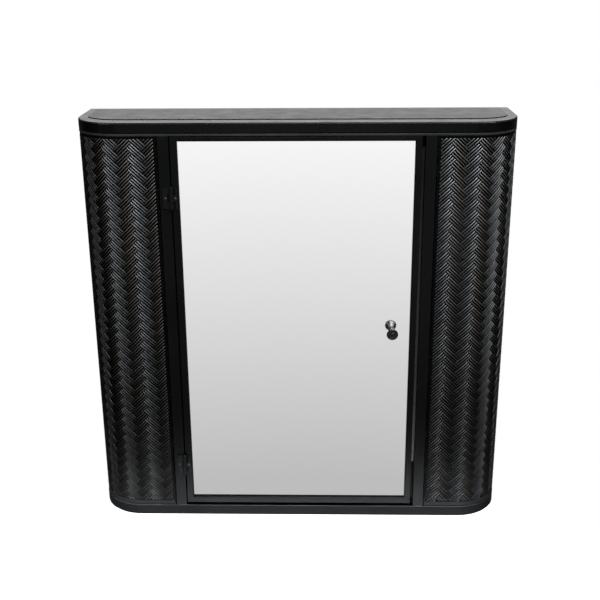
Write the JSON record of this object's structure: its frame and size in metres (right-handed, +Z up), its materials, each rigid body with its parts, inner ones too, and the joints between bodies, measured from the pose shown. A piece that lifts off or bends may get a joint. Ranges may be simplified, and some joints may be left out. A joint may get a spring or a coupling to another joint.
{
  "type": "medicine cabinet with mirror",
  "caption": "Wall-hung bathroom cabinet with round front corners, woven black sides, a framed mirror door on side hinges, a small knob and glass shelves inside.",
  "frame": {"origin": "centre of the flat back face, which lies on the wall plane y = 0", "axes": "+Z up, -Y out of the wall through the mirror door, +X to the right of a person who faces the mirror"},
  "size_m": [0.7, 0.1708, 0.6914],
  "materials": {
    "black_steel": "semi-gloss black powder coat",
    "black_board": "satin black lacquered board",
    "black_weave": "glossy black woven strands",
    "lining": "matt black paint",
    "mirror": "silvered glass",
    "backing": "dark hardboard",
    "knob_metal": "polished black nickel",
    "steel": "zinc plated",
    "rubber": "soft black rubber",
    "stop_felt": "pale felt tape",
    "shelf_glass": "clear tempered glass"
  },
  "bodies": {
    "root": {"back_panel": "black_board", "bottom_panel": "black_board", "bottom_rim": "black_steel", "catch_housing": "black_steel", "catch_magnet": "steel", "catch_screw_1": "steel", "catch_screw_2": "steel", "ceiling_panel": "black_steel", "door_stop_strip": "stop_felt", "hinge_side_stop": "black_steel", "latch_side_stop": "black_steel", "left_keyhole_plate": "steel", "left_liner": "lining", "left_rear_post": "black_steel", "left_stile": "black_steel", "left_woven_panel": "black_weave", "lower_hinge_pin": "black_steel", "lower_shelf": "shelf_glass", "lower_shelf_pin_1": "steel", "lower_shelf_pin_2": "steel", "lower_shelf_pin_3": "steel", "lower_shelf_pin_4": "steel", "lower_stile_leaf": "black_steel", "lower_stile_screw": "steel", "right_keyhole_plate": "steel", "right_liner": "lining", "right_rear_post": "black_steel", "right_stile": "black_steel", "right_woven_panel": "black_weave", "top_panel": "black_board", "top_rim": "black_steel", "upper_hinge_pin": "black_steel", "upper_rim": "black_steel", "upper_shelf": "shelf_glass", "upper_shelf_pin_1": "steel", "upper_shelf_pin_2": "steel", "upper_shelf_pin_3": "steel", "upper_shelf_pin_4": "steel", "upper_stile_leaf": "black_steel", "upper_stile_screw": "steel"},
    "door": {"door_back_cover": "black_steel", "door_bumper_1": "rubber", "door_bumper_2": "rubber", "door_frame": "black_steel", "knob": "knob_metal", "knob_screw": "steel", "knob_washer": "rubber", "lower_door_leaf": "black_steel", "lower_door_screw": "steel", "mirror_backing": "backing", "mirror_glass": "mirror", "strike_plate": "steel", "upper_door_leaf": "black_steel", "upper_door_screw": "steel"}
  },
  "joints": [
    {"name": "door_hinge", "type": "hinge", "parent": "root", "child": "door", "pos_m": [-0.1967, -0.1576, 0.00085], "axis": [0, 0, -1], "range_deg": [0, 165]}
  ]
}
